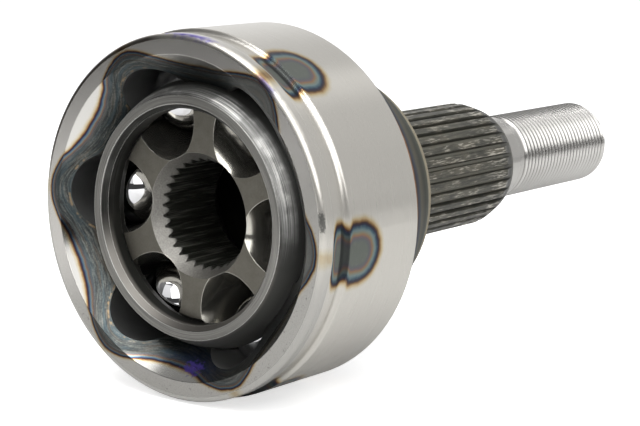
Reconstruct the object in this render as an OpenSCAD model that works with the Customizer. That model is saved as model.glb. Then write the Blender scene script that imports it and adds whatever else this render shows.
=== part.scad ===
// Wheel-side end of a front drive shaft: a fixed constant-velocity ball joint with its stub shaft.
// A bell with six curved tracks is forged in one with the splined and threaded stub. Inside it are
// a windowed cage, six balls and an inner race whose splined bore takes the axle.
// Frame: the origin is the joint's centre, +Y runs along the stub, -Y looks out of the mouth, +Z is up.

/* [Balls and tracks] */
// Diameter of each ball, five eighths of an inch
ball_d = 15.875; // [15:0.005:16.2]
// Diameter of the circle on which the ball centres lie
ball_pitch_d = 51.2; // [50.6:0.1:52]
// How far the centres of the track arcs lie from the joint's centre
track_offset = 2; // [1.6:0.1:2.2]
// Angle of the first ball about the shaft, from +X towards +Z
track_start = -6; // [-30:1:30]
// Angle at which the outer tracks run out into the pocket
track_run_out = 46; // [44:1:47]

/* [Bell] */
// Outside diameter of the bell
bell_d = 75.1; // [74.5:0.1:80]
// Distance from the joint's centre to the bell's front face
mouth_depth = 16.8; // [16.4:0.1:18]
// Distance from the joint's centre to the back edge of the bell's ground outside
bell_back = 13; // [11:0.1:14]
// Diameter of the mouth at the front face
mouth_d = 65.8; // [63:0.1:67]
// Half angle of the mouth's cone
mouth_angle = 43; // [40:1:46]
// Step of the front lip below the bell's outside
lip_step = 0.55; // [0.3:0.05:0.9]
// Width of the front lip, its rounded edge included
lip_w = 3; // [2.4:0.1:3.6]
// Radius of the lip's rounded front edge
lip_round = 1.1; // [0.6:0.1:1.4]
// Depth of the boot groove below the lip
groove_depth = 0.4; // [0.2:0.05:0.8]
// Width of the boot groove's floor
groove_w = 3.5; // [3:0.1:5]
// Angle of the slope behind the boot groove, from the shaft's direction
slope_angle = 60; // [45:5:70]
// Radius of the fillet at the foot of that slope
slope_fillet = 0.8; // [0.5:0.1:0.9]
// Radius of the rounding at the top of that slope
slope_crest = 0.3; // [0.2:0.05:0.5]
// Break on the back edge of the bell's outside
back_edge = 0.2; // [0.1:0.1:0.6]
// Step from the bell's outside down to the taper behind it
back_step = 0.8; // [0.7:0.1:2]
// Diameter of the pocket behind the inner race
pocket_d = 50; // [49:0.5:52]
// Distance from the joint's centre to the pocket's floor
pocket_depth = 27; // [26.4:0.2:28.4]
// Radius of the pocket's corner
pocket_round = 8; // [7:0.5:9]

/* [Shoulder] */
// Diameter of the shoulder that the wheel bearing rests on
shoulder_d = 50.8; // [49:0.1:53]
// Distance from the joint's centre to the shoulder's face
shoulder_pos = 35.2; // [34.6:0.1:38]
// Width of the land round the shoulder, its chamfer included
shoulder_land = 0.7; // [0.5:0.1:1.5]
// Chamfer on the edge of the shoulder's face
shoulder_edge = 0.2; // [0.1:0.05:0.4]
// Diameter of the plain neck between the shoulder and the spline
neck_d = 26.4; // [25.4:0.1:26.6]
// Length of the plain neck
neck_len = 6; // [4:0.5:10]
// Radius of the fillet where the neck meets the shoulder
neck_fillet = 1.5; // [0.8:0.1:2.5]

/* [Outer spline] */
// Diameter over the tips of the outer spline
spline_d = 29; // [28.6:0.1:30]
// Depth of the spline's grooves
spline_depth = 1; // [0.7:0.05:1.1]
// Number of teeth on the outer spline
spline_teeth = 33; // [28:1:36]
// Angle of the first groove about the shaft, from +X towards +Z
spline_start = 2.5; // [0:0.5:10]
// Length of the outer spline
spline_len = 45.2; // [36:0.1:50]
// Chamfer on the spline's end by the neck
spline_chamfer = 1.3; // [0.8:0.1:1.6]
// Depth of the lead-in chamfer on the spline's end by the thread
lead_depth = 1.2; // [0.8:0.1:1.6]
// Length of the lead-in chamfer
lead_len = 4.2; // [2:0.1:6]
// Width of a spline groove at its top, as a share of the tooth pitch
spline_gap_top = 0.46; // [0.4:0.02:0.6]
// Width of a spline groove at its floor, as a share of the tooth pitch
spline_gap_floor = 0.24; // [0.16:0.02:0.36]

/* [Threaded end] */
// Diameter of the plain shank before the thread
shank_d = 19.6; // [18:0.1:19.8]
// Length of the plain shank
shank_len = 10.2; // [8:0.1:18]
// Outside diameter of the thread
thread_d = 20; // [20:0.1:24]
// Length of the thread
thread_len = 40; // [28:0.5:45]
// Chamfer at the start and the end of the thread
thread_chamfer = 1.2; // [0.8:0.1:1.8]
// Diameter of the centre hole's mouth in the stub's end
centre_d = 8; // [6:0.5:10]
// Half angle of the centre hole's cone
centre_angle = 30; // [30:1:45]
// Diameter of the centre hole's pilot
pilot_d = 3.2; // [2:0.1:4]
// Depth of the centre hole's pilot below the cone
pilot_len = 4; // [2:0.5:8]

/* [Cage] */
// Diameter of the cage's outer sphere
cage_d = 57.6; // [57:0.1:58.4]
// Wall of the cage between its two spheres
cage_wall = 4.65; // [4:0.05:5.2]
// Distance from the joint's centre to each rim of the cage
cage_reach = 14.8; // [14:0.1:15.4]
// Diameter of the round opening at each end of the cage
cage_bore_d = 43.9; // [43:0.1:45]
// Width of the chamfer inside each rim
rim_chamfer = 1; // [0.5:0.1:1.4]
// Slope of that chamfer, as its depth over its width
rim_slope = 1.25; // [0.8:0.05:1.6]
// Radius of the corners of the ball windows
window_round = 3.5; // [2:0.1:4.5]

/* [Inner race] */
// Width of the inner race
race_w = 21.2; // [20:0.1:22]
// Break round the inner race's end faces
race_edge = 0.4; // [0.2:0.1:0.7]
// Diameter over the roots of the bore's spline
bore_root_d = 23; // [22.6:0.1:23.4]
// Height of the bore spline's teeth
bore_tooth = 0.7; // [0.5:0.05:0.8]
// Number of teeth in the bore's spline
bore_teeth = 32; // [26:1:34]
// Angle of the bore's first groove about the shaft, from +X towards +Z
bore_start = 7.5; // [0:0.5:11]
// Diameter at which the bore's chamfer starts on the end faces
bore_chamfer_d = 25.6; // [24.6:0.1:26]
// Half angle of the bore's chamfer
bore_chamfer_angle = 30; // [28:1:45]
// Width of a bore spline's groove at its top, as a share of the tooth pitch
bore_gap_top = 0.78; // [0.7:0.02:0.84]
// Width of a bore spline's groove at its floor, as a share of the tooth pitch
bore_gap_floor = 0.16; // [0.1:0.02:0.24]

/* [Clearances] */
// Radial gap between the cage and the bell's sphere
cage_fit = 0.1; // [0.05:0.01:0.2]
// Radial gap between the inner race and the cage
race_fit = 0.1; // [0.05:0.01:0.2]
// Gap between a ball and its tracks
track_fit = 0.2; // [0.15:0.01:0.3]
// Gap between a ball and the window's faces along the shaft
window_fit = 0.25; // [0.2:0.01:0.35]
// Room for the ball to wander sideways in its window
window_room = 1.3; // [1.2:0.05:1.6]

/* [Hidden] */
BALL_COUNT = 6;
$fn = 96;

// How far a cutter reaches past the face that it cuts, and past the tips of a spline's teeth
past = 1;
past_tips = 0.1;
steel = [0.72, 0.71, 0.69];
race_grey = [0.46, 0.45, 0.43];
cage_grey = [0.52, 0.52, 0.51];
ball_chrome = [0.86, 0.87, 0.88];

// Radii of the pieces that fit in each other
bell_r = bell_d / 2;
lip_r = bell_r - lip_step;
groove_r = lip_r - groove_depth;
cage_r = cage_d / 2;
cage_inner_r = cage_r - cage_wall;
cavity_r = cage_r + cage_fit;
race_r = cage_inner_r - race_fit;
shoulder_r = shoulder_d / 2;

// Track arcs: the outer ones are centred towards the mouth, the inner ones towards the stub
track_arc_r = norm([ball_pitch_d / 2, track_offset]);
track_r = ball_d / 2 + track_fit;

// Angles from which, and up to which, the cutters of the tracks run past the metal
track_mouth_angle = -40;
race_track_from = -48;
race_track_to = 40;

// Places along the shaft, measured from the joint's centre
mouth_pos = -mouth_depth;
groove_pos = mouth_pos + lip_w;
slope_pos = groove_pos + groove_w;
rim_pos = shoulder_pos - shoulder_land;
spline_pos = shoulder_pos + neck_len;
shank_pos = spline_pos + spline_len;
thread_pos = shank_pos + shank_len;
stub_end = thread_pos + thread_len;

// Turns a piece drawn along +Z so that it lies along the shaft
module along_shaft() {
    rotate([-90, 0, 0]) children();
}

// Puts its children at one of the six track angles
module at_track(i) {
    rotate([0, 0, -(track_start + i * 360 / BALL_COUNT)]) children();
}

// A ring segment as thick as a track, in the plane through the shaft at angle zero
module track(centre, from_angle, to_angle) {
    translate([0, 0, centre])
        rotate([90, 0, 0])
            rotate_extrude(angle = to_angle - from_angle, start = from_angle)
                translate([track_arc_r, 0]) circle(r = track_r);
}

// One groove of a spline: its two radii and its widths there, as shares of the tooth pitch
module spline_gap(teeth, r_floor, floor_share, r_top, top_share) {
    pitch = 360 / teeth;
    run_on = past_tips / abs(r_top - r_floor);
    function at(r, share) = [r * cos(pitch * share / 2), r * sin(pitch * share / 2)];
    low = at(r_floor, floor_share);
    high = at(r_top + run_on * (r_top - r_floor), top_share + run_on * (top_share - floor_share));
    polygon([low, high, [high[0], -high[1]], [low[0], -low[1]]]);
}

// The bell's ground outside, from the front face to the back edge
module bell_outline() {
    slope_out = [cos(slope_angle), -sin(slope_angle)];
    foot_centre = [groove_r + slope_fillet, slope_pos];
    foot = foot_centre - slope_fillet * slope_out;
    slope_h = bell_r - groove_r - (slope_fillet + slope_crest) * (1 - cos(slope_angle));
    top = foot + [slope_h, slope_h / tan(slope_angle)];
    crest_centre = top - slope_crest * slope_out;
    difference() {
        polygon([
            [0, mouth_pos],
            [lip_r - lip_round, mouth_pos],
            [lip_r, mouth_pos + lip_round],
            [lip_r, groove_pos],
            [groove_r, groove_pos],
            [groove_r, slope_pos],
            foot,
            top,
            [bell_r, crest_centre[1]],
            [bell_r, bell_back - back_edge],
            [bell_r - back_edge, bell_back],
            [0, bell_back]
        ]);
        translate(foot_centre) circle(r = slope_fillet);
    }
    translate(crest_centre) circle(r = slope_crest);
    translate([lip_r - lip_round, mouth_pos + lip_round]) circle(r = lip_round);
}

// The taper behind the bell and the bearing shoulder with its narrow land
module taper_outline() {
    polygon([
        [0, 0],
        [bell_r - back_step, 0],
        [bell_r - back_step, bell_back],
        [shoulder_r, rim_pos],
        [shoulder_r, shoulder_pos - shoulder_edge],
        [shoulder_r - shoulder_edge, shoulder_pos],
        [0, shoulder_pos]
    ]);
}

// The stub behind the shoulder: neck, spline blank, shank and thread blank
module stub_outline() {
    neck_r = neck_d / 2;
    spline_r = spline_d / 2;
    shank_r = shank_d / 2;
    thread_r = thread_d / 2;
    polygon([
        [0, shoulder_pos - past],
        [neck_r, shoulder_pos - past],
        [neck_r, spline_pos],
        [spline_r - spline_chamfer, spline_pos],
        [spline_r, spline_pos + spline_chamfer],
        [spline_r, shank_pos - lead_len],
        [spline_r - lead_depth, shank_pos],
        [shank_r, shank_pos],
        [shank_r, thread_pos],
        [thread_r, thread_pos + thread_r - shank_r],
        [thread_r, stub_end - thread_chamfer],
        [thread_r - thread_chamfer, stub_end],
        [0, stub_end]
    ]);
    // Fillet at the shoulder
    translate([neck_r, shoulder_pos])
        difference() {
            translate([-past, -past]) square(neck_fillet + past);
            translate([neck_fillet, neck_fillet]) circle(r = neck_fillet);
        }
}

// The hollow of the bell: mouth cone, cage sphere and the pocket behind
module hollow_outline() {
    spread = tan(mouth_angle);
    pocket_r = pocket_d / 2;
    intersection() {
        circle(r = cavity_r);
        translate([0, -cavity_r]) square([cavity_r, cavity_r + pocket_depth - pocket_round]);
    }
    polygon([
        [0, mouth_pos - past],
        [mouth_d / 2 + past * spread, mouth_pos - past],
        [0, mouth_pos + mouth_d / 2 / spread]
    ]);
    square([pocket_r, pocket_depth - pocket_round]);
    square([pocket_r - pocket_round, pocket_depth]);
    translate([pocket_r - pocket_round, pocket_depth - pocket_round]) circle(r = pocket_round);
}

// Half of the plane, where a revolved outline lies
module right_half() {
    intersection() {
        children();
        translate([0, mouth_pos - past]) square([bell_r + past, stub_end - mouth_pos + 2 * past]);
    }
}

// The centre hole in the stub's end
module centre_hole() {
    cone_len = (centre_d - pilot_d) / 2 / tan(centre_angle);
    spread = past * tan(centre_angle);
    translate([0, 0, stub_end - cone_len])
        cylinder(r1 = pilot_d / 2, r2 = centre_d / 2 + spread, h = cone_len + past);
    translate([0, 0, stub_end - cone_len - pilot_len])
        cylinder(d = pilot_d, h = pilot_len + past);
}

// Bell and stub shaft, forged in one piece
module outer_race() {
    color(steel)
        along_shaft()
            difference() {
                rotate_extrude()
                    right_half()
                        difference() {
                            union() {
                                bell_outline();
                                taper_outline();
                                stub_outline();
                            }
                            hollow_outline();
                        }
                for (i = [0 : BALL_COUNT - 1])
                    at_track(i) track(-track_offset, track_mouth_angle, track_run_out);
                translate([0, 0, spline_pos - past])
                    linear_extrude(height = spline_len + 2 * past)
                        for (i = [0 : spline_teeth - 1])
                            rotate([0, 0, -spline_start - i * 360 / spline_teeth])
                                spline_gap(spline_teeth, spline_d / 2 - spline_depth,
                                    spline_gap_floor, spline_d / 2, spline_gap_top);
                centre_hole();
            }
}

// The bore of the inner race with its spline and the chamfers at both ends
module race_bore() {
    tip_r = bore_root_d / 2 - bore_tooth;
    chamfer_r = bore_chamfer_d / 2;
    chamfer_len = (chamfer_r - tip_r) / tan(bore_chamfer_angle);
    spread = past * tan(bore_chamfer_angle);
    translate([0, 0, -race_w / 2 - past]) {
        cylinder(r = tip_r, h = race_w + 2 * past);
        linear_extrude(height = race_w + 2 * past)
            for (i = [0 : bore_teeth - 1])
                rotate([0, 0, -bore_start - i * 360 / bore_teeth])
                    spline_gap(bore_teeth, bore_root_d / 2, bore_gap_floor, tip_r, bore_gap_top);
    }
    for (side = [0, 1])
        mirror([0, 0, side])
            translate([0, 0, race_w / 2 - chamfer_len])
                cylinder(r1 = tip_r, r2 = chamfer_r + spread, h = chamfer_len + past);
}

// Star-shaped inner race with six tracks and a splined bore
module inner_race() {
    reach = race_w / 2;
    face_r = sqrt(pow(race_r, 2) - pow(reach, 2));
    color(race_grey)
        along_shaft()
            difference() {
                rotate_extrude()
                    intersection() {
                        circle(r = race_r);
                        polygon([
                            [0, -reach],
                            [face_r - race_edge, -reach],
                            [face_r + race_edge, -reach + 2 * race_edge],
                            [race_r + past, -reach + 2 * race_edge],
                            [race_r + past, reach - 2 * race_edge],
                            [face_r + race_edge, reach - 2 * race_edge],
                            [face_r - race_edge, reach],
                            [0, reach]
                        ]);
                    }
                for (i = [0 : BALL_COUNT - 1])
                    at_track(i) track(track_offset, race_track_from, race_track_to);
                race_bore();
            }
}

// One ball window, cut outwards through the cage's wall
module window() {
    window_len = ball_d + 2 * window_fit;
    window_w = ball_d + 2 * window_room;
    inside = cage_inner_r / 2;
    translate([inside, 0, 0])
        rotate([0, 90, 0])
            linear_extrude(height = cage_r - inside + past) {
                square([window_len - 2 * window_round, window_w], center = true);
                square([window_len, window_w - 2 * window_round], center = true);
                for (x = [-1, 1], y = [-1, 1])
                    translate([x * (window_len / 2 - window_round), y * (window_w / 2 - window_round)])
                        circle(r = window_round);
            }
}

// Ball cage: a spherical ring with six windows
module cage() {
    cage_bore_r = cage_bore_d / 2;
    chamfer_len = rim_chamfer * rim_slope;
    color(cage_grey)
        along_shaft()
            difference() {
                rotate_extrude()
                    difference() {
                        intersection() {
                            circle(r = cage_r);
                            translate([cage_bore_r, -cage_reach]) square([cage_wall + cage_bore_r, 2 * cage_reach]);
                        }
                        circle(r = cage_inner_r);
                        for (side = [0, 1])
                            mirror([0, side])
                                translate([cage_bore_r, cage_reach])
                                    polygon([
                                        [-past, -chamfer_len - past * rim_slope],
                                        [rim_chamfer + past, past * rim_slope],
                                        [-past, past * rim_slope]
                                    ]);
                    }
                for (i = [0 : BALL_COUNT - 1])
                    at_track(i) window();
            }
}

// One of the six balls, numbered from 1
module ball(number) {
    color(ball_chrome)
        along_shaft()
            at_track(number - 1)
                translate([ball_pitch_d / 2, 0, 0]) sphere(d = ball_d);
}

outer_race();
inner_race();
cage();
for (number = [1 : BALL_COUNT])
    ball(number);
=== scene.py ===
"""Looks of the wheel-side joint of a drive shaft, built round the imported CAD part.

Objects are in metres. The fields that the materials are made of count in millimetres.
"""

import math

import bmesh
import bpy
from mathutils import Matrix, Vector

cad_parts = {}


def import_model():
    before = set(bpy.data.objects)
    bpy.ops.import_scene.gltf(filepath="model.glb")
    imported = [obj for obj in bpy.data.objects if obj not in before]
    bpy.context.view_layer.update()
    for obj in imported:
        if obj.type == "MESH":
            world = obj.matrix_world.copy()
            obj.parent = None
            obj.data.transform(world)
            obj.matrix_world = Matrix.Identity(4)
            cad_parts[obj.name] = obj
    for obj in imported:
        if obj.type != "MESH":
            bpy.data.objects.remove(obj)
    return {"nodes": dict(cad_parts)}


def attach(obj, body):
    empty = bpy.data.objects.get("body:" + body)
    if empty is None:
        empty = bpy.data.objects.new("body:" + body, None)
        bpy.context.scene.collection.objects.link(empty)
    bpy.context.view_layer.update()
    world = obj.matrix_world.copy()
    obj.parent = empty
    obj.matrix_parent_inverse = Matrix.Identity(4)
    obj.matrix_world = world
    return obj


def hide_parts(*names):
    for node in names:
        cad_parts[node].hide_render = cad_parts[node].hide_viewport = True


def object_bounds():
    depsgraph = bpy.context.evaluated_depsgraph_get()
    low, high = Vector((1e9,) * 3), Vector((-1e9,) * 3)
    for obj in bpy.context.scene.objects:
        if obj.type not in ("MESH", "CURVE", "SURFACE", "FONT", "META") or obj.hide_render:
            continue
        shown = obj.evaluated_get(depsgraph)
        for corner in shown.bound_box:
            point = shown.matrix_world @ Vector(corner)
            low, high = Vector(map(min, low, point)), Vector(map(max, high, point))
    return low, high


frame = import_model()
cad_low, cad_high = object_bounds()

MM = 0.001  # metres in a millimetre

# Sizes in millimetres, the same as in the CAD source. An R is a radius about the shaft, and a place
# along the shaft is counted from the joint's centre, negative towards the mouth

# Bell
BELL_R = cad_high.x / MM
FACE_Y = cad_low.y / MM
LIP_FLAT_R = 35.9  # where the face's flat ends and the lip's round begins
GROOVE_START = -13.8
OUTSIDE_START = -9.1  # where the groove's slope has risen to the full outside
BELL_BACK = 13.0
SEAT_R = 28.9
SHOULDER_Y = 35.2

# Ball tracks: six arcs whose centres lie off the joint's centre
TRACKS = 6
TRACK_START = math.radians(-6)
TRACK_ARC_R = 25.68
TRACK_TUBE_R = 8.14
TRACK_OFFSET = 2.0

# Stub
SPLINE_END = 86.4
SPLINE_R = 14.5
SPLINE_ROOT_R = 13.5
LEAD_LEN = 4.2
SHANK_R = 9.8
THREAD_START = 96.6
THREAD_R = 10.0
STUB_END = cad_high.y / MM

# Inner pieces
CAGE_FACE = -14.8
RACE_HALF = 10.6
BORE_CHAMFER_R = 12.8


# Fields and surfaces

# Places of the colour sockets on Blender's Mix node
MIX_FIRST = 6
MIX_SECOND = 7
MIX_RESULT = 2

NO_STRETCH = (1.0, 1.0, 1.0)
QUARTER_TURN = 0.25  # as a share of a full turn


class Field:
    """A number that varies over a surface: a node's output that takes part in sums like a number."""

    def __init__(self, tree, socket):
        self.tree = tree
        self.socket = socket

    def math(self, operation, *values):
        node = self.tree.nodes.new("ShaderNodeMath")
        node.operation = operation
        for entry, value in zip(node.inputs, values):
            feed(self.tree, entry, value)
        return Field(self.tree, node.outputs[0])

    def __add__(self, other):
        return self.math("ADD", self, other)

    __radd__ = __add__

    def __sub__(self, other):
        return self.math("SUBTRACT", self, other)

    def __rsub__(self, other):
        return self.math("SUBTRACT", other, self)

    def __mul__(self, other):
        return self.math("MULTIPLY", self, other)

    __rmul__ = __mul__

    def __truediv__(self, other):
        return self.math("DIVIDE", self, other)

    def root(self):
        return self.math("SQRT", self)

    def size(self):
        return self.math("ABSOLUTE", self)

    def sine(self):
        return self.math("SINE", self)

    def cosine(self):
        return self.math("COSINE", self)

    def at_least(self, other):
        return self.math("MAXIMUM", self, other)

    def at_most(self, other):
        return self.math("MINIMUM", self, other)

    def rise(self, start, end):
        """0 at start and 1 at end, smooth between them. Start may be above end."""
        node = self.tree.nodes.new("ShaderNodeMapRange")
        node.interpolation_type = "SMOOTHSTEP"
        for entry, value in zip(node.inputs, (self, start, end)):
            feed(self.tree, entry, value)
        return Field(self.tree, node.outputs[0])


def feed(tree, entry, value):
    """Gives a node's input a field, a socket, a number or a colour."""
    if isinstance(value, Field):
        tree.links.new(value.socket, entry)
    elif isinstance(value, bpy.types.NodeSocket):
        tree.links.new(value, entry)
    elif isinstance(value, tuple):
        entry.default_value = (*value, 1.0)
    else:
        entry.default_value = value


def hypot(a, b):
    return (a * a + b * b).root()


def oval(first, second, middle, spread):
    """Distance from the middle of an oval mark, 1 at its edge. Middle and spread are for two axes."""
    return hypot((first - middle[0]) / spread[0], (second - middle[1]) / spread[1])


class Surface:
    """A metal made of nodes, with the place on the part as fields to build its finish from."""

    def __init__(self, name):
        self.material = bpy.data.materials.new(name)
        self.material.use_nodes = True
        self.tree = self.material.node_tree
        self.shader = self.tree.nodes["Principled BSDF"]
        self.shader.inputs["Metallic"].default_value = 1.0
        place = self.tree.nodes.new("ShaderNodeTexCoord")
        split = self.tree.nodes.new("ShaderNodeSeparateXYZ")
        self.tree.links.new(place.outputs["Object"], split.inputs[0])
        self.x, self.y, self.z = (Field(self.tree, out) * (1 / MM) for out in split.outputs)
        self.r = hypot(self.x, self.z)
        # The lobe goes once round from track to track. Side and out are measured from the nearest track
        turn = self.x.math("ARCTAN2", self.z, self.x) - TRACK_START
        half_step = math.pi / TRACKS
        near = turn.math("WRAP", turn, half_step, -half_step)
        self.lobe = turn * TRACKS
        self.side = self.r * near.sine()
        self.out = self.r * near.cosine()

    def from_track(self, offset):
        """Distance from the surface of the nearest track, positive in the metal beside it.

        The offset is the place along the shaft that its arc is drawn round.
        """
        arc = hypot(self.out, self.y - offset) - TRACK_ARC_R
        return hypot(arc, self.side) - TRACK_TUBE_R

    def noise(self, size, detail=2.0, stretch=NO_STRETCH):
        """Noise from 0 to 1 with spots of about that size in millimetres."""
        return self.noise_at((self.x, self.y, self.z), size, detail, stretch)

    def noise_at(self, place, size, detail, stretch=NO_STRETCH, rough=0.5):
        """The same for a place that is given as three fields or numbers."""
        join = self.tree.nodes.new("ShaderNodeCombineXYZ")
        for entry, part, pull in zip(join.inputs, place, stretch):
            feed(self.tree, entry, part * (1 / (size * pull)))
        node = self.tree.nodes.new("ShaderNodeTexNoise")
        node.inputs["Scale"].default_value = 1.0
        node.inputs["Detail"].default_value = detail
        node.inputs["Roughness"].default_value = rough
        self.tree.links.new(join.outputs[0], node.inputs["Vector"])
        return Field(self.tree, node.outputs[0])

    def waver(self, amount, size, detail=2.0):
        """Noise about 0 that frays an edge, half the amount at most to either side."""
        return (self.noise(size, detail) - 0.5) * amount

    def brushed(self, width, length, detail=3.0):
        """Noise drawn out into lines of that width and length in millimetres that run round the shaft."""
        lean = 2.3  # keeps the lines apart on faces and cones as well as on cylinders
        round_x = self.x / self.r * BELL_R
        round_z = self.z / self.r * BELL_R
        across = self.y + self.r * lean
        place = (round_x, across, round_z)
        return self.noise_at(place, 1.0, detail, (length, width, length), 0.6)

    def ground(self, offset, shrink, rough):
        """Noise as grinding lines across the tracks with that offset, longer the smaller the shrink."""
        ahead = self.y - offset
        along = ahead.math("ARCTAN2", ahead, self.out) * TRACK_ARC_R
        return self.noise_at((along, self.side * shrink, 0.0), 0.3, 3.0, rough=rough)

    def ramp(self, field, stops):
        """A colour that follows the field through stops of (field's value, colour)."""
        low = stops[0][0]
        reach = stops[-1][0] - low
        node = self.tree.nodes.new("ShaderNodeValToRGB")
        spots = node.color_ramp.elements
        while len(spots) < len(stops):
            spots.new(1.0)
        for spot, (value, colour) in zip(spots, stops):
            spot.position = (value - low) / reach
            spot.color = (*colour, 1.0)
        feed(self.tree, node.inputs[0], (field - low) / reach)
        return node.outputs[0]

    def blend(self, share, first, second, kind="MIX"):
        """Colour between first and second by the share, or another kind of Blender's colour blends."""
        node = self.tree.nodes.new("ShaderNodeMix")
        node.data_type = "RGBA"
        node.blend_type = kind
        feed(self.tree, node.inputs[0], share)
        feed(self.tree, node.inputs[MIX_FIRST], first)
        feed(self.tree, node.inputs[MIX_SECOND], second)
        return node.outputs[MIX_RESULT]

    def edges(self, radius):
        """A softened normal, and a field that is above 0 within about that radius of a sharp edge."""
        soft = self.tree.nodes.new("ShaderNodeBevel")
        soft.inputs["Radius"].default_value = radius * MM
        true = self.tree.nodes.new("ShaderNodeNewGeometry")
        dot = self.tree.nodes.new("ShaderNodeVectorMath")
        dot.operation = "DOT_PRODUCT"
        self.tree.links.new(soft.outputs[0], dot.inputs[0])
        self.tree.links.new(true.outputs["Normal"], dot.inputs[1])
        return soft.outputs[0], 1.0 - Field(self.tree, dot.outputs["Value"])

    def bump(self, height, depth, normal=None):
        """A normal with the field's relief, depth in millimetres for a field from 0 to 1."""
        node = self.tree.nodes.new("ShaderNodeBump")
        node.inputs["Strength"].default_value = 1.0
        node.inputs["Distance"].default_value = depth * MM
        feed(self.tree, node.inputs["Height"], height)
        if normal is not None:
            self.tree.links.new(normal, node.inputs["Normal"])
        return node.outputs[0]

    def turned(self, share):
        """Stretches reflections across lines that run round the shaft."""
        tangent = self.tree.nodes.new("ShaderNodeTangent")
        tangent.direction_type = "RADIAL"
        tangent.axis = "Y"
        self.tree.links.new(tangent.outputs[0], self.shader.inputs["Tangent"])
        self.shader.inputs["Anisotropic"].default_value = share
        self.shader.inputs["Anisotropic Rotation"].default_value = QUARTER_TURN

    def metallic(self, share):
        feed(self.tree, self.shader.inputs["Metallic"], share)

    def finish(self, colour, roughness, normal=None):
        feed(self.tree, self.shader.inputs["Base Color"], colour)
        feed(self.tree, self.shader.inputs["Roughness"], roughness)
        if normal is not None:
            self.tree.links.new(normal, self.shader.inputs["Normal"])
        return self.material


# Ground steel of the bell's outside

BRIGHT_STEEL = (0.555, 0.535, 0.495)
DULL_STEEL = (0.46, 0.445, 0.41)
SHADED_LOWER_STEEL = (0.36, 0.35, 0.32)
SHADED_LOWER_LIP = (0.29, 0.288, 0.278)
BURNT_SPECKS = (0.16, 0.16, 0.15)
BURNT_STRIP = (0.012, 0.012, 0.014)
OUTSIDE_EDGE_GLINT = (0.8, 0.8, 0.78)
LIP_DARK_REFLECTION = (0.05, 0.038, 0.03)
LIP_SPOT = (0.025, 0.022, 0.07)
LIP_VIOLET = (0.13, 0.10, 0.42)
LIP_REFLECTED_DARK = (0.10, 0.10, 0.095)

# Temper colours by the distance in millimetres past the heat's edge
OUTSIDE_TEMPER = (
    (-1.5, (1.0, 1.0, 1.0)),
    (-0.9, (0.94, 0.88, 0.74)),
    (-0.4, (0.78, 0.62, 0.38)),
    (0.0, (0.38, 0.23, 0.11)),
    (0.35, (0.09, 0.055, 0.05)),
    (0.75, (0.04, 0.05, 0.10)),
    (1.2, (0.10, 0.18, 0.25)),
    (1.7, (0.27, 0.38, 0.41)),
    (2.2, (0.34, 0.34, 0.27)),
    (2.6, (0.40, 0.25, 0.16)),
    (3.0, (0.25, 0.20, 0.23)),
    (3.5, (0.19, 0.21, 0.235)),
    (4.2, (0.215, 0.245, 0.235)),
)

# Temper mark over each track: round behind its middle, blunt in front, pinched where the groove's slope
# ends and darkest in a strip from the groove's floor up the slope
MARK_R = 6.2
MARK_MIDDLE = -5.7
MARK_FRONT = -11.9
MARK_BLUNTNESS = 3.9
PINCH_Y = -9.5
PINCH_HALF = 1.3
STRIP_START = -11.3
NO_HEAT = 9.0  # more than any mark's heat

# Single marks on the lip, as middles and half-sizes
LIP_SPOT_X = 23.2
LIP_SPOT_Z = 28.3
VIOLET_X_Y = (3.3, -15.6)
VIOLET_HALF = (8.5, 1.4)
REFLECTED_DARK_Y_Z = (-16.5, 3.4)
REFLECTED_DARK_HALF = (0.55, 2.3)


def outside_heat(s, on_lip):
    """Distance in millimetres past the edge of the temper mark over the nearest track."""
    waver = s.waver(0.6, 1.8, 3.0)
    behind = (s.y - MARK_MIDDLE).at_least(0.0)
    before = (MARK_FRONT - s.y).at_least(0.0) * MARK_BLUNTNESS
    pinch = (s.y - PINCH_Y).size().rise(PINCH_HALF, 0.0)
    heat = MARK_R - hypot(hypot(s.side, behind), before) - pinch + waver
    # A fainter one crosses the lip, dark on the upper side
    upper = s.z.rise(10.0, 25.0)
    lip_heat = upper * 0.6 - 0.7 - (s.side.size() - 0.6).at_least(0.0) * 0.45 + waver
    return heat.at_least(lip_heat.at_most(0.2) - (1.0 - on_lip) * NO_HEAT)


def lip_marks(s, colour):
    """Adds single marks on the lip: a spot on its edge and violet on top, and two painted reflections, a
    dark line on the upper left edge and a dark streak on the right.
    """
    upper_left = s.x.rise(-2.0, -8.0) * s.z.rise(4.0, 12.0)
    # Painted reflection: a dark line along the lip's upper left edge, where it mirrors the dark room on
    # the left
    line = s.y.rise(FACE_Y + 0.7, FACE_Y + 0.3) * upper_left
    colour = s.blend(line * 0.8, colour, LIP_DARK_REFLECTION)
    from_spot = hypot(s.x - LIP_SPOT_X, s.z - LIP_SPOT_Z)
    spot = from_spot.rise(4.5, 1.0) * s.y.rise(FACE_Y + 1.0, FACE_Y + 0.3)
    colour = s.blend(spot * 0.9, colour, LIP_SPOT)
    violet = oval(s.x, s.y, VIOLET_X_Y, VIOLET_HALF) + s.waver(1.4, 1.2, 3.0)
    colour = s.blend(violet.rise(1.0, 0.3) * s.z.rise(30.0, 34.0) * 0.85, colour, LIP_VIOLET)
    # Painted reflection: a dark streak on the lip's right side, where it mirrors something dark
    reflected_dark = oval(s.y, s.z, REFLECTED_DARK_Y_Z, REFLECTED_DARK_HALF) + s.waver(1.5, 0.4, 4.0)
    return s.blend(reflected_dark.rise(1.1, 0.5) * s.x.rise(20.0, 30.0) * 0.85, colour, LIP_REFLECTED_DARK)


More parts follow.
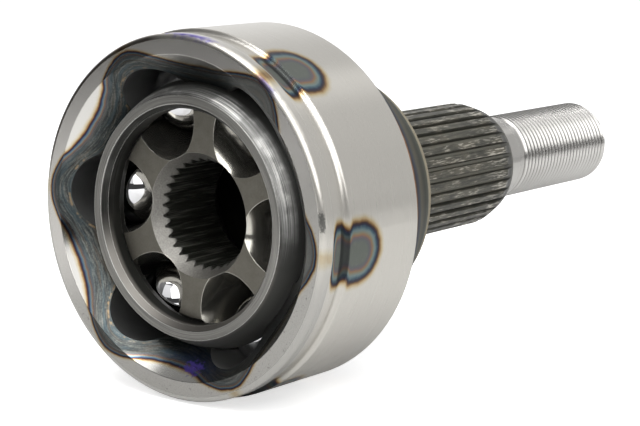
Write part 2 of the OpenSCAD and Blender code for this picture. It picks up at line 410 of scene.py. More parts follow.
def outside_steel():
    """Ground steel of the bell's outside with a temper mark over each track."""
    s = Surface("ground_steel")
    lines = s.brushed(0.12, 14.0)
    clouds = s.noise(9.0)
    mottle = s.noise(0.9, 4.0)
    on_lip = s.y.rise(GROOVE_START, GROOVE_START - 0.1)
    steel = s.blend(lines * 0.6 + clouds * 0.25, BRIGHT_STEEL, DULL_STEEL)
    # Painted shade: the steel is darker towards the bottom, and the lip more so
    steel = s.blend(s.z.rise(8.0, -8.0) * 0.4, steel, SHADED_LOWER_STEEL)
    steel = s.blend(s.z.rise(0.0, -14.0) * on_lip * 0.6, steel, SHADED_LOWER_LIP)
    heat = outside_heat(s, on_lip)
    burnt = heat.rise(0.3, 1.2)
    colour = s.blend(1.0, steel, s.ramp(heat, OUTSIDE_TEMPER), "MULTIPLY")
    colour = s.blend(burnt * mottle.rise(0.5, 0.75) * 0.2, colour, BURNT_SPECKS)
    strip = s.y.rise(STRIP_START, STRIP_START + 0.5) * s.y.rise(OUTSIDE_START + 0.1, OUTSIDE_START - 0.3)
    colour = s.blend(burnt * strip * 0.75, colour, BURNT_STRIP)
    soft, edge = s.edges(0.55)
    # Painted highlight: the colour is lighter along sharp edges, a glint
    colour = s.blend(edge.rise(0.01, 0.2) * (1.0 - burnt) * 0.4, colour, OUTSIDE_EDGE_GLINT)
    colour = lip_marks(s, colour)
    s.turned(0.5)
    rough = 0.23 + lines * 0.12 + burnt * 0.08 + edge.rise(0.005, 0.08) * 0.12
    return s.finish(colour, rough, s.bump(lines, 0.005, soft))


# Steel of the bell's mouth

FACE_STEEL = (0.50, 0.485, 0.46)
FACE_DULL = (0.30, 0.293, 0.275)
FACE_PITS = (0.14, 0.135, 0.125)
FACE_LINES = (0.36, 0.35, 0.33)
FACE_EDGE_GLINT = (0.5, 0.48, 0.44)
CONE_STEEL = (0.60, 0.59, 0.56)
CONE_SHADE = (0.22, 0.216, 0.205)
CONE_BLUE = (0.015, 0.03, 0.085)
CONE_VIOLET = (0.12, 0.08, 0.44)
OXIDE_BLUE = (0.042, 0.066, 0.078)
OXIDE_BROWN = (0.085, 0.062, 0.042)
OXIDE_GREY = (0.17, 0.17, 0.16)
TRACK_STAIN = (0.27, 0.19, 0.105)

# Temper colours as above, in the narrower bands of the mouth
MOUTH_TEMPER = (
    (-0.6, (1.0, 1.0, 1.0)),
    (-0.25, (0.92, 0.82, 0.62)),
    (0.0, (0.50, 0.30, 0.13)),
    (0.14, (0.12, 0.06, 0.05)),
    (0.3, (0.04, 0.045, 0.10)),
    (0.48, (0.12, 0.20, 0.30)),
    (0.66, (0.24, 0.27, 0.26)),
    (0.82, (0.26, 0.16, 0.11)),
    (1.0, (0.15, 0.14, 0.16)),
    (1.3, (0.12, 0.14, 0.15)),
    (2.2, (0.08, 0.085, 0.08)),
)

OXIDE = (
    (0.25, (0.022, 0.025, 0.025)),
    (0.45, (0.045, 0.05, 0.05)),
    (0.6, (0.085, 0.09, 0.085)),
    (0.8, (0.19, 0.185, 0.165)),
)

# The heat's edge swings out at each track, by two waves
HEAT_EDGE_R = 32.8
HEAT_SWING = 2.25
HEAT_SECOND_SWING = 0.379

# Places where it bulges out besides: x, z, reach and height
BULGES = (
    (25.0, 25.5, 10.0, 1.5),
    (-28.1, -13.1, 13.0, 0.6),
)

# Middle and half-size of the violet mark low on the cone
CONE_VIOLET_X_Z = (1.6, -30.4)
CONE_VIOLET_HALF = (3.4, 1.5)

STREAK_STRETCH = (12.0, 1.0, 3.0)


def mouth_heat(s):
    """Distance in millimetres that a point of the mouth lies inside the scalloped edge of the heat."""
    edge = HEAT_EDGE_R + HEAT_SWING * s.lobe.cosine() + HEAT_SECOND_SWING * (s.lobe * 2.0).cosine()
    for x, z, reach, height in BULGES:
        edge = edge + hypot(s.x - x, s.z - z).rise(reach, 2.0) * height
    return edge - s.r + s.waver(0.6, 3.5)


def bare_mouth(s, lines, specks, on_cone):
    """Bright steel: the face is dull and pitted on the lower right, and the cone has painted shade on the
    lower left.
    """
    lower_right = (s.x * 0.5 - s.z).rise(-8.0, 12.0)
    pits = s.noise(0.55, 3.0).rise(0.66, 0.72) + (specks - 0.5) * 1.6
    face = s.blend(lower_right, FACE_STEEL, FACE_DULL)
    face = s.blend(lower_right * pits.at_least(0.0), face, FACE_PITS)
    # Painted shade: the cone is darker on the lower left
    lower_left = s.z.rise(2.0, -6.0) * s.x.rise(-14.0, -22.0)
    cone = s.blend(lower_left * 0.9, CONE_STEEL, CONE_SHADE)
    return s.blend(lines * 0.12, s.blend(on_cone, face, cone), FACE_LINES)


def mouth_oxide(s, place, streaks, specks):
    """Dark oxide inside the heat's edge, streaked in blue and brown and paler on the right."""
    hues = s.noise_at(place, 0.7, 3.0, STREAK_STRETCH, 0.55)
    oxide = s.ramp(streaks * 0.35 + specks * 0.4 + 0.12, OXIDE)
    oxide = s.blend(hues.rise(0.5, 0.64) * 0.5, oxide, OXIDE_BLUE)
    oxide = s.blend(hues.rise(0.46, 0.36) * 0.4, oxide, OXIDE_BROWN)
    return s.blend(s.x.rise(5.0, 28.0) * 0.5, oxide, OXIDE_GREY)


def mouth_marks(s, colour, on_cone, dark):
    """Adds tan marks beside the tracks on the left, and violet in a blue halo low on the cone."""
    near_track = s.from_track(-TRACK_OFFSET)
    broken = s.noise(1.6, 5.0).rise(0.47, 0.62)
    stain = near_track.rise(0.1, 0.3) * near_track.rise(0.75, 0.4) * broken * s.x.rise(-4.0, -16.0)
    colour = s.blend(stain * 0.6, colour, TRACK_STAIN)
    violet = oval(s.x, s.z, CONE_VIOLET_X_Z, CONE_VIOLET_HALF) + s.waver(2.4, 0.8, 3.0)
    colour = s.blend(violet.rise(3.2, 0.8) * on_cone * dark * 0.6, colour, CONE_BLUE)
    return s.blend(violet.rise(1.0, 0.2) * on_cone * 0.85, colour, CONE_VIOLET)


def mouth_steel():
    """The bell's front face and its cone: bright round a scalloped heat edge, dark oxide inside it."""
    s = Surface("tempered_mouth")
    lines = s.brushed(0.12, 10.0)
    specks = s.noise(0.35, 4.0)
    on_cone = s.y.rise(FACE_Y + 0.03, FACE_Y + 0.12)
    heat = mouth_heat(s)
    steel = bare_mouth(s, lines, specks, on_cone)
    colour = s.blend(1.0, steel, s.ramp(heat, MOUTH_TEMPER), "MULTIPLY")
    # Streaks run beside the heat's edge, so they follow the distance from it
    place = (s.lobe * 4.0, heat, s.y * 0.3)
    streaks = s.noise_at(place, 0.25, 4.0, STREAK_STRETCH, 0.65).rise(0.3, 0.7)
    dark = heat.rise(0.7, 1.7)
    colour = s.blend(dark * 0.9, colour, mouth_oxide(s, place, streaks, specks))
    colour = mouth_marks(s, colour, on_cone, dark)
    soft, edge = s.edges(0.2)
    # Painted highlight: the colour is lighter along sharp edges, a glint
    colour = s.blend(edge.rise(0.01, 0.2) * (1.0 - dark) * 0.4, colour, FACE_EDGE_GLINT)
    s.turned(0.3)
    rough = 0.24 - on_cone * 0.06 + dark * 0.18 + lines * 0.02
    return s.finish(colour, rough, s.bump(streaks * dark, 0.006, soft))


# Steel of the bell's hollow

SEAT_SHADE = (0.035, 0.036, 0.034)
SEAT_PALE = (0.15, 0.15, 0.14)
POCKET_SHADE = (0.012, 0.012, 0.011)
OUTER_TRACK_SHADE = (0.06, 0.061, 0.06)
OUTER_TRACK_PALE = (0.17, 0.17, 0.165)


def seat_steel():
    """Inside of the bell, the cage's spherical seat and the pocket behind it, painted dark as shade and
    darker still deeper in.
    """
    s = Surface("dark_seat")
    lines = s.brushed(0.25, 12.0)
    clouds = s.noise(3.0, 3.0)
    # Painted shade: the hollow's steel is painted dark
    colour = s.blend(lines * 0.6 + clouds * 0.4, SEAT_SHADE, SEAT_PALE)
    # Painted shade: darker deeper in the hollow
    deep = s.y.rise(8.0, 14.0)
    colour = s.blend(deep, colour, POCKET_SHADE)
    return s.finish(colour, 0.3 + clouds * 0.15 + deep * 0.3)


def outer_track_steel():
    """Ground ball tracks in the bell, painted dark as shade, lighter in cloudy patches."""
    s = Surface("dark_outer_track")
    lines = s.ground(-TRACK_OFFSET, 0.03, 0.5)
    cloudy = s.noise(6.0)
    # Painted shade: the tracks are painted dark
    colour = s.blend(lines * 0.1 + cloudy * 0.6, OUTER_TRACK_SHADE, OUTER_TRACK_PALE)
    s.metallic(0.5)
    return s.finish(colour, 0.28)


# Steel of the bell's back

TAPER_LINES = (0.06, 0.06, 0.05)
TAPER_WORN = (0.38, 0.34, 0.26)

# Colours of the bands by the radius
TAPER_BANDS = (
    (24.0, (0.09, 0.088, 0.066)),
    (25.45, (0.22, 0.195, 0.145)),
    (26.0, (0.17, 0.155, 0.115)),
    (26.5, (0.045, 0.048, 0.038)),
    (28.5, (0.020, 0.023, 0.018)),
    (31.3, (0.058, 0.052, 0.036)),
    (32.4, (0.030, 0.036, 0.040)),
    (33.0, (0.015, 0.020, 0.045)),
    (33.5, (0.010, 0.010, 0.016)),
    (34.1, (0.030, 0.018, 0.012)),
    (34.6, (0.22, 0.10, 0.045)),
    (35.3, (0.26, 0.17, 0.10)),
    (36.1, (0.36, 0.29, 0.20)),
    (36.9, (0.42, 0.40, 0.355)),
)


def taper_steel():
    """Dark oxidised back of the bell with bands of temper colour beside the ground outside."""
    s = Surface("oxidised_taper")
    lines = s.brushed(0.2, 16.0)
    specks = s.noise(0.5, 3.0)
    band = s.ramp(s.r + s.waver(0.8, 6.0) * s.r.rise(28.0, 32.0), TAPER_BANDS)
    colour = s.blend(lines * 0.2, band, TAPER_LINES)
    soft, edge = s.edges(0.25)
    worn = edge.rise(0.02, 0.25) * specks.rise(0.3, 0.55) * s.r.rise(30.0, 28.0)
    colour = s.blend(worn * 0.85, colour, TAPER_WORN)
    s.metallic(0.0)
    s.shader.inputs["Specular IOR Level"].default_value = 0.05
    return s.finish(colour, 0.5 + lines * 0.1, s.bump(specks, 0.01, soft))


# Steel of the stub

COAT_DARK = (0.008, 0.008, 0.006)
COAT_PALE = (0.075, 0.072, 0.054)
GROOVE_PAINTED_LIGHT = (0.14, 0.137, 0.11)
COAT_BRONZE = (0.13, 0.115, 0.085)
RUBBED = (0.34, 0.32, 0.27)
RUBBED_END = (0.42, 0.40, 0.35)
LEAD_DARK = (0.05, 0.05, 0.045)
FLANK_SHADE = (0.02, 0.02, 0.018)
TOOTH_EDGE = (0.34, 0.33, 0.29)
STUB_PALE = (0.62, 0.61, 0.59)
STUB_DARK = (0.40, 0.39, 0.37)
THREAD_ROOT_SHADE = (0.12, 0.115, 0.11)
THREAD_EDGE_GLINT = (0.82, 0.81, 0.79)
SHANK_SHADE = (0.26, 0.25, 0.23)


def coat(s, grain, patches, between):
    """The phosphate's colour: dark and grainy and bronze in patches, with painted light that makes it
    paler between the teeth.
    """
    dirt = s.noise(0.5, 3.0, (1.0, 14.0, 1.0))
    colour = s.blend(grain * 0.4 + dirt.rise(0.3, 0.7) * 0.6, COAT_DARK, COAT_PALE)
    # Painted light: paler between the teeth, against the shade there
    colour = s.blend(between * 0.85, colour, GROOVE_PAINTED_LIGHT)
    return s.blend(patches.rise(0.45, 0.65) * 0.4, colour, COAT_BRONZE)


def phosphate():
    """Phosphated spline and neck, rubbed bright in streaks on the tips of the teeth."""
    s = Surface("phosphated_spline")
    grain = s.noise(0.3, 4.0)
    patches = s.noise(3.2, 3.0, (1.0, 2.0, 1.0))
    scuffs = s.noise(0.32, 4.0, (1.0, 9.0, 1.0))
    tip = s.r.rise(SPLINE_R - 0.5, SPLINE_R - 0.15)
    flank = s.r.rise(SPLINE_ROOT_R + 0.04, SPLINE_ROOT_R + 0.14) * (1.0 - tip)
    colour = coat(s, grain, patches, (1.0 - tip) * (1.0 - flank))
    rubbed = tip * scuffs.rise(0.52, 0.62) * (0.15 + patches.rise(0.45, 0.6) * 0.85)
    colour = s.blend(rubbed * 0.7, colour, RUBBED)
    near_end = s.y.rise(SPLINE_END - 16.0, SPLINE_END - 6.0) * tip * scuffs.rise(0.48, 0.6)
    colour = s.blend(near_end * 0.45, colour, RUBBED_END)
    lead_start = SPLINE_END - LEAD_LEN
    colour = s.blend(s.y.rise(lead_start - 0.2, lead_start + 0.2) * 0.7, colour, LEAD_DARK)
    # Painted shade: darker on the teeth's flanks, in the corners of the grooves
    colour = s.blend(flank * 0.5, colour, FLANK_SHADE)
    soft, edge = s.edges(0.12)
    worn = edge.rise(0.02, 0.2) * scuffs.rise(0.4, 0.55) * tip
    colour = s.blend(worn * 0.4, colour, TOOTH_EDGE)
    s.metallic(0.35)
    return s.finish(colour, 0.5 - rubbed * 0.18, s.bump(grain, 0.02, soft))


def stub_steel():
    """Bright turned steel of the shank, the thread and the stub's end."""
    s = Surface("turned_stub")
    lines = s.brushed(0.09, 30.0)
    clouds = s.noise(5.0)
    colour = s.blend(lines * 0.5 + clouds * 0.3, STUB_PALE, STUB_DARK)
    # Painted shade: darker in the roots of the thread
    root = s.r.rise(THREAD_R - 0.22, THREAD_R - 0.65) * s.y.rise(STUB_END - 0.9, STUB_END - 1.5)
    colour = s.blend(root * 0.85, colour, THREAD_ROOT_SHADE)
    # Painted shade: the shank and the start of the thread's run-out are darker, toning down their
    # highlight
    shank = s.y.rise(THREAD_START + 2.0, THREAD_START + 0.5)
    colour = s.blend(shank * 0.4, colour, SHANK_SHADE)
    soft, edge = s.edges(0.05)
    # Painted highlight: the colour is lighter along sharp edges, a glint
    colour = s.blend(edge.rise(0.02, 0.2) * (1.0 - root) * 0.3, colour, THREAD_EDGE_GLINT)
    s.turned(0.3)
    return s.finish(colour, 0.16 + lines * 0.12, s.bump(lines, 0.003, soft))


# Steel of the inner pieces

CAGE_INSIDE_R = 24.6  # within this a face of the cage is an inner one

CAGE_SHADE = (0.085, 0.085, 0.08)
CAGE_EDGE_GLINT = (0.86, 0.85, 0.82)
BRUSH_GREY = (0.28, 0.28, 0.27)
BRUSH_HIGHLIGHT = (1.0, 0.99, 0.96)
RIM_PALE = (0.30, 0.295, 0.275)
RIM_DARK = (0.085, 0.083, 0.077)
WALL_SHADE = (0.02, 0.02, 0.018)
WALL_LIT = (0.19, 0.18, 0.165)
RACE_DARK = (0.12, 0.118, 0.11)
RACE_PALE = (0.34, 0.33, 0.31)
RACE_EDGE_GLINT = (0.42, 0.41, 0.38)
END_DARK = (0.085, 0.08, 0.066)
END_PALE = (0.185, 0.175, 0.15)
CHAMFER_DARK = (0.12, 0.115, 0.105)
CHAMFER_PALE = (0.34, 0.33, 0.305)
BORE_SHADE = (0.018, 0.019, 0.015)
BORE_PALE = (0.115, 0.115, 0.10)
INNER_TRACK_PALE = (0.56, 0.54, 0.48)
INNER_TRACK_DARK = (0.36, 0.345, 0.305)
BALL_CLEAN = (0.62, 0.62, 0.63)
BALL_OILY = (0.46, 0.45, 0.44)


def cage_steel():
    """Turned rims and a brushed outside, with a painted highlight beside the front rim on the upper side
    and painted shade farther in, and painted shade on the inner faces.
    """
    s = Surface("cage_steel")
    lines = s.brushed(0.1, 7.0, 4.0)
    coarse = s.brushed(0.3, 26.0)
    clouds = s.noise(5.0, 3.0)
    marks = lines * 0.35 + coarse * 0.65
    on_rim = s.y.rise(CAGE_FACE + 0.2, CAGE_FACE + 0.05)
    rim = s.blend(marks.rise(0.25, 0.75), RIM_PALE, RIM_DARK)
    # Painted highlight beside the front rim on the upper side, over the brushed lines; painted shade
    # farther in
    highlight_beside_rim = s.y.rise(CAGE_FACE + 4.2, CAGE_FACE + 2.2) * s.z.rise(-8.0, 8.0)
    brushed = s.blend(marks.rise(0.4, 0.6), BRUSH_GREY, BRUSH_HIGHLIGHT)
    outside = s.blend(highlight_beside_rim * (0.45 + clouds.rise(0.4, 0.6) * 0.55), CAGE_SHADE, brushed)
    inside = s.r.rise(CAGE_INSIDE_R + 0.6, CAGE_INSIDE_R) * (1.0 - on_rim)
    # Painted shade on the cage's inner faces, with painted light on the lower front
    lit_lower_front = s.z.rise(0.0, -10.0) * s.y.rise(CAGE_FACE + 2.8, CAGE_FACE + 1.6)
    wall = s.blend(lit_lower_front, WALL_SHADE, WALL_LIT)
    colour = s.blend(on_rim, s.blend(inside * 0.95, outside, wall), rim)
    soft, edge = s.edges(0.12)
    # Painted highlight: the colour is lighter along sharp edges, a glint
    colour = s.blend(edge.rise(0.005, 0.08) * 0.95, colour, CAGE_EDGE_GLINT)
    s.turned(0.7)
    rough = 0.36 + (1.0 - on_rim) * 0.12 + lines * 0.1
    return s.finish(colour, rough, s.bump(marks, 0.012, soft))


def race_steel():
    """Inner race: matt warm end faces, a paler chamfer, a spline bore painted dark as shade, and ground
    tracks.
    """
    s = Surface("race_steel")
    grain = s.noise(0.35, 4.0)
    blotches = s.noise(2.5, 3.0)
    bore_lines = s.noise(0.35, 3.0, (1.0, 30.0, 1.0)).rise(0.5, 0.7)
    outside = s.blend(s.brushed(0.3, 18.0), RACE_DARK, RACE_PALE)
    end = s.blend(grain * 0.5 + blotches * 0.5, END_DARK, END_PALE)
    chamfer = s.blend(grain, CHAMFER_DARK, CHAMFER_PALE)
    # Painted shade: the bore is painted dark, with lighter lines along its teeth
    bore = s.blend(bore_lines, BORE_SHADE, BORE_PALE)
    track = s.blend(s.ground(TRACK_OFFSET, 0.04, 0.55), INNER_TRACK_PALE, INNER_TRACK_DARK)
    on_end = s.y.size().rise(RACE_HALF - 0.06, RACE_HALF - 0.02)
    in_chamfer = s.r.rise(BORE_CHAMFER_R + 0.03, BORE_CHAMFER_R - 0.03)
    in_bore = s.y.rise(2.6 - RACE_HALF, 3.6 - RACE_HALF) * in_chamfer
    in_track = s.from_track(TRACK_OFFSET).rise(0.08, 0.03)
    colour = s.blend(on_end, outside, end)
    colour = s.blend(in_chamfer, colour, chamfer)
    colour = s.blend(in_bore, colour, bore)
    colour = s.blend(in_track, colour, track)
    soft, edge = s.edges(0.12)
    # Painted highlight: the colour is lighter along sharp edges, a glint
    colour = s.blend(edge.rise(0.01, 0.2) * (1.0 - in_bore) * 0.5, colour, RACE_EDGE_GLINT)
    s.metallic(1.0 - in_bore * 0.5 - in_track * 0.03)
    rough = 0.44 - in_track * 0.3 + grain * 0.05 - in_bore * 0.16
    return s.finish(colour, rough, s.bump(grain * (1.0 - in_track), 0.012, soft))


def ball_steel():
    """Polished bearing balls with a thin smear of oil."""
    s = Surface("polished_ball")
    smear = s.noise(2.5, 3.0)
    fine = s.noise(0.5)
    colour = s.blend(smear.rise(0.45, 0.7) * 0.6, BALL_CLEAN, BALL_OILY)
    return s.finish(colour, 0.03 + smear.rise(0.5, 0.8) * 0.07, s.bump(fine, 0.001))


# Bell with the stub

THREAD_FOOT = 95.5  # place on the shank where the thread's piece begins
POCKET_START = 21.0  # behind this the hollow has the pocket's finish, the tracks' ends too
POCKET_FLOOR_R = 12.0  # within this a face behind the bell's back belongs to the pocket's floor

# Zones of the outer race in the order of the piece's materials
ZONES = ("outside", "face", "seat", "track", "taper", "spline", "stub")


def hollow_zone(centre, y, r):
    """Which finish a face in the bell's hollow has."""
    turn = math.atan2(centre.z, centre.x) - TRACK_START
    step = 2 * math.pi / TRACKS
    near = (turn + step / 2) % step - step / 2
    arc = math.hypot(r * math.cos(near), y + TRACK_OFFSET) - TRACK_ARC_R
    if math.hypot(arc, r * math.sin(near)) < TRACK_TUBE_R + 0.06 and y < POCKET_START:
        return "track"
    return "face" if y < 0 and math.hypot(r, y) > SEAT_R + 0.12 else "seat"


def zone_of(centre, normal):
    """Which finish a face of the outer race has."""
    y = centre.y / MM
    r = math.hypot(centre.x, centre.z) / MM
    outward = normal.x * centre.x + normal.z * centre.z > 0
    if y > SPLINE_END + 0.1 or y > SPLINE_END - 0.2 and r < SHANK_R + 0.25:
        return "stub"
    if y > SHOULDER_Y + 0.1:
        return "spline"
    if y > BELL_BACK - 0.15 and (outward or normal.y > 0.5) and r > POCKET_FLOOR_R:
        return "outside" if r > BELL_R - 0.25 else "taper"
    if r > LIP_FLAT_R:
        return "outside"
    return "face" if y < FACE_Y + 0.05 else hollow_zone(centre, y, r)


def cut_off_thread(mesh):
    """Cuts the mesh where the thread's piece begins and closes the cut."""
    work = bmesh.new()
    work.from_mesh(mesh)
    place = Vector((0.0, THREAD_FOOT * MM, 0.0))
    along = Vector((0.0, 1.0, 0.0))
    everything = work.verts[:] + work.edges[:] + work.faces[:]
    cut = {"plane_co": place, "plane_no": along, "clear_outer": True}
    made = bmesh.ops.bisect_plane(work, geom=everything, **cut)
    rim = [part for part in made["geom_cut"] if isinstance(part, bmesh.types.BMEdge)]
    bmesh.ops.holes_fill(work, edges=rim)
    work.to_mesh(mesh)
    work.free()


def bell_and_stub():
    """The bell and stub as far as the thread: the CAD mesh with a finish on each zone."""
    mesh = frame["nodes"]["outer_race"].data.copy()
    body = bpy.data.objects.new("bell_and_stub", mesh)
    bpy.context.scene.collection.objects.link(body)
    cut_off_thread(mesh)
    mesh.materials.clear()
    for finish in (outside_steel, mouth_steel, seat_steel, outer_track_steel, taper_steel, phosphate):
        mesh.materials.append(finish())
    mesh.materials.append(turned_stub)
    for face in mesh.polygons:
        face.material_index = ZONES.index(zone_of(face.center, face.normal))
    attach(body, "outer_race")
    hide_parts("outer_race")


# Thread and centre hole

PITCH = 1.5
THREAD_DEPTH = 0.92
THREAD_CHAMFER = 1.2  # at the stub's end
RUN_OUT = 1.3 * PITCH  # length over which the thread grows to its full depth
SHARP_ANGLE = math.radians(25)
COLUMNS = 120  # vertices once round
# Rows of one turn as (share of the pitch, share of the depth that is cut)
THREAD_FORM = ((0.0, 1.0), (0.125, 1.0), (0.4375, 0.0), (0.5625, 0.0))
ROWS = len(THREAD_FORM)
TURNS = math.ceil((STUB_END - THREAD_FOOT) / PITCH) + 1  # one to spare
CENTRE_R = 4.0
PILOT_R = 1.6
CENTRE_CONE = (CENTRE_R - PILOT_R) / math.tan(math.radians(30))
PILOT_LEN = 4.0


def thread_radius(y, cut):
    """Radius of the thread at y, where cut is 0 on the crest and 1 at the root."""
    fade = min(1.0, max(0.0, (y - THREAD_START) / RUN_OUT))
    crest = SHANK_R + (THREAD_R - SHANK_R) * fade
    chamfer = THREAD_R - THREAD_CHAMFER + (STUB_END - y)
    return min(crest - THREAD_DEPTH * cut * fade, chamfer)


def round_vertex(work, radius, y, column):
    """A new vertex at that radius and place along the shaft, on one of the columns round it."""
    turn = 2 * math.pi * column / COLUMNS
    return work.verts.new((radius * math.cos(turn) * MM, y * MM, radius * math.sin(turn) * MM))


def helix(work):
    """Makes the thread's skin and gives the rings of vertices at its foot and its end.

    The rows of the helix run past both ends and are held there, so that they close into rings.
    """
    made = {}

    def vertex(row, column):
        if column == COLUMNS:
            return vertex(row + ROWS, 0)
        share, cut = THREAD_FORM[row % ROWS]
        y = STUB_END + (row // ROWS - TURNS + share + column / COLUMNS) * PITCH
        held = min(STUB_END, max(THREAD_FOOT, y))
        key = (row if held == y else held, column)
        if key not in made:
            made[key] = round_vertex(work, thread_radius(held, cut), held, column)
        return made[key]

    for row in range(TURNS * ROWS):
        for column in range(COLUMNS):
            spots = ((row, column), (row + 1, column), (row + 1, column + 1), (row, column + 1))
            corners = list(dict.fromkeys(vertex(*spot) for spot in spots))
            if len(corners) > 2:
                work.faces.new(corners)
    foot = [made[THREAD_FOOT, column] for column in range(COLUMNS)]
    end = [made[STUB_END, column] for column in range(COLUMNS)]
    return foot, end


def centre_hole(work, end):
    """Joins the ring at the stub's end to the hole's mouth, its cone and its pilot with a flat floor."""
    bottom = STUB_END - CENTRE_CONE
    outline = ((CENTRE_R, STUB_END), (PILOT_R, bottom), (PILOT_R, bottom - PILOT_LEN))
    before = end
    for radius, y in outline:
        ring = [round_vertex(work, radius, y, column) for column in range(COLUMNS)]
        for k in range(COLUMNS):
            following = (k + 1) % COLUMNS
            work.faces.new((before[k], ring[k], ring[following], before[following]))
        before = ring
    work.faces.new(before)


def stub_thread():
    """The stub's thread as a real helix, with its run-out, its chamfered end and the centre hole."""
    work = bmesh.new()
    foot, end = helix(work)
    centre_hole(work, end)
    work.faces.new(foot)
    bmesh.ops.recalc_face_normals(work, faces=work.faces[:])
    mesh = bpy.data.meshes.new("stub_thread")
    work.to_mesh(mesh)
    work.free()
    for face in mesh.polygons:
        face.use_smooth = True
    mesh.set_sharp_from_angle(angle=SHARP_ANGLE)
    thread = bpy.data.objects.new("stub_thread", mesh)
    bpy.context.scene.collection.objects.link(thread)
    mesh.materials.append(turned_stub)
    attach(thread, "outer_race")


# All pieces


def dress(node, material):
    """Gives a CAD node that is shown as it is one of the metals."""
    mesh = frame["nodes"][node].data
    mesh.materials.clear()
    mesh.materials.append(material)
    for face in mesh.polygons:
        face.material_index = 0


turned_stub = stub_steel()
bell_and_stub()
stub_thread()
dress("cage", cage_steel())
dress("inner_race", race_steel())
polished = ball_steel()
for number in range(1, TRACKS + 1):
    dress(f"ball_{number}", polished)


# Floor and surroundings

FLOOR_LEFT = -2.5
FLOOR_RIGHT = 2.5
FLOOR_NEAR = -0.35
FLOOR_FAR = 4.0
FLOOR_GREY = 0.75
# The floor's glow, and what the camera sees of it besides, so that it looks nearly white
FLOOR_GLOW = 0.06
FLOOR_SEEN_GLOW = 0.56

# Brightness that the metal sees in the room in front, on the wall behind and at the ceiling
ROOM_LIGHT = 0.07
WALL_LIGHT = 0.74
CEILING_LIGHT = 0.25

WHITE = (1.0, 1.0, 1.0)


def floor():
    """A plain pale table top that ends a little way in front of the part."""
    mesh = bpy.data.meshes.new("floor")
    near = [(x, FLOOR_NEAR, cad_low.z) for x in (FLOOR_LEFT, FLOOR_RIGHT)]
    far = [(x, FLOOR_FAR, cad_low.z) for x in (FLOOR_RIGHT, FLOOR_LEFT)]
    mesh.from_pydata(near + far, [], [(0, 1, 2, 3)])
    top = bpy.data.objects.new("floor", mesh)
    bpy.context.scene.collection.objects.link(top)
    material = bpy.data.materials.new("pale_floor")
    material.use_nodes = True
    tree = material.node_tree
    shader = tree.nodes["Principled BSDF"]
    shader.inputs["Roughness"].default_value = 0.9
    feed(tree, shader.inputs["Base Color"], (FLOOR_GREY, FLOOR_GREY, FLOOR_GREY))
    feed(tree, shader.inputs["Emission Color"], WHITE)
    path = tree.nodes.new("ShaderNodeLightPath")
    glow = Field(tree, path.outputs["Is Camera Ray"]) * FLOOR_SEEN_GLOW + FLOOR_GLOW
    feed(tree, shader.inputs["Emission Strength"], glow)
    mesh.materials.append(material)


def world():
    """White behind the part for the camera, and for the metal a bright back with a dark room in front."""
    made = bpy.data.worlds.new("studio")
    bpy.context.scene.world = made
    made.use_nodes = True
    tree = made.node_tree
    back = tree.nodes["Background"]
    feed(tree, back.inputs["Color"], WHITE)
    place = tree.nodes.new("ShaderNodeTexCoord")
    split = tree.nodes.new("ShaderNodeSeparateXYZ")
    tree.links.new(place.outputs["Generated"], split.inputs[0])
    x, y, z = (Field(tree, out) for out in split.outputs)
    behind = y.rise(-0.1, 0.45)
    above = z.rise(0.1, 0.9)
    # Bands that the bell's outside mirrors: a bright strip, a thin dark gap and a bright left side
    high = z.rise(0.48, 0.58)
    strip = high * x.rise(0.26, 0.16) * x.rise(-0.06, -0.02)
    gap = high * x.rise(-0.05, -0.08) * x.rise(-0.14, -0.10)
    left = x.rise(-0.25, -0.6)
    wall = WALL_LIGHT + strip * 0.45 - gap * 0.3 + left * 0.3
    light = ROOM_LIGHT + behind * wall + above * CEILING_LIGHT * (1.0 - behind)
    path = tree.nodes.new("ShaderNodeLightPath")
    seen = Field(tree, path.outputs["Is Camera Ray"])
    feed(tree, back.inputs["Strength"], light * (1.0 - seen) + seen)


# Lamps and camera

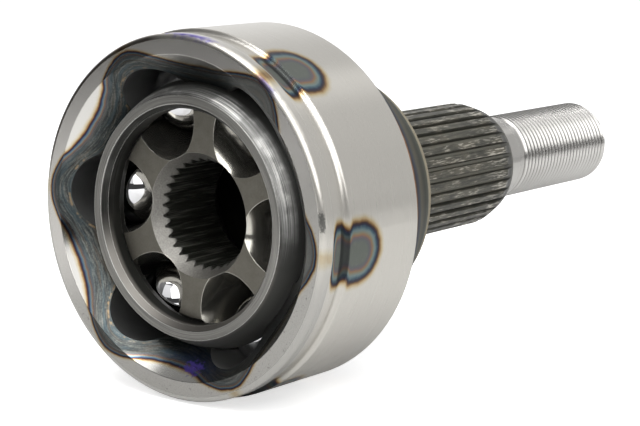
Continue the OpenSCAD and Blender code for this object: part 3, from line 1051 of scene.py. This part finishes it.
# Name, azimuth and elevation in degrees, distance, width and height in metres, and strength. Azimuth 0
# is in front of the mouth and 90 on its right
SOFTBOXES = (
    ("front_right", 46, 28, 0.55, 0.54, 0.34, 3.2),
    ("front", 3, 30, 0.6, 0.32, 0.4, 0.95),
    ("low_front", -8, 6, 0.9, 0.4, 0.16, 0.8),
    ("right", 100, 46, 0.9, 0.8, 0.4, 0.7),
    ("top", 60, 82, 1.0, 1.0, 1.0, 1.15),
    ("brush", 15, 63, 0.8, 0.6, 0.22, 9.0),
    ("beside_brush", 34, 50, 0.8, 0.3, 0.16, 3.5),
    ("front_top", -33, 62, 1.0, 0.34, 0.26, 1.6),
    ("side", 81, 18, 0.9, 0.3, 0.36, 1.6),
)

# The photograph's viewpoint, worked out from the ellipses of its bell, cage and stub
VIEW_PLACE = (0.2581, -0.3016, 0.0661)
VIEW_TILT = math.radians(80.42)
VIEW_TURN = math.radians(37.94)
FOCAL_LENGTH = 110.2
SENSOR_WIDTH = 36.0
NEAREST = 0.01  # closer things aren't drawn


def softbox(name, azimuth, elevation, distance, width, height, strength):
    """A rectangular lamp that faces the joint's centre and isn't seen itself."""
    light = bpy.data.lights.new(name, "AREA")
    light.shape = "RECTANGLE"
    light.size = width
    light.size_y = height
    light.energy = strength * width * height * math.pi
    lamp = bpy.data.objects.new(name, light)
    turn = math.radians(azimuth)
    lift = math.radians(elevation)
    way = Vector((math.sin(turn) * math.cos(lift), -math.cos(turn) * math.cos(lift), math.sin(lift)))
    lamp.location = way * distance
    lamp.rotation_euler = way.to_track_quat("Z", "Y").to_euler()
    lamp.visible_camera = False
    bpy.context.scene.collection.objects.link(lamp)


def camera():
    """The camera that takes the photograph's view."""
    lens = bpy.data.cameras.new("photo_view")
    lens.sensor_width = SENSOR_WIDTH
    lens.lens = FOCAL_LENGTH
    lens.clip_start = NEAREST
    view = bpy.data.objects.new("photo_view", lens)
    view.location = VIEW_PLACE
    view.rotation_euler = (VIEW_TILT, 0.0, VIEW_TURN)
    bpy.context.scene.collection.objects.link(view)
    bpy.context.scene.camera = view


floor()
world()
for box in SOFTBOXES:
    softbox(*box)
camera()
bpy.context.scene.view_settings.view_transform = "Standard"
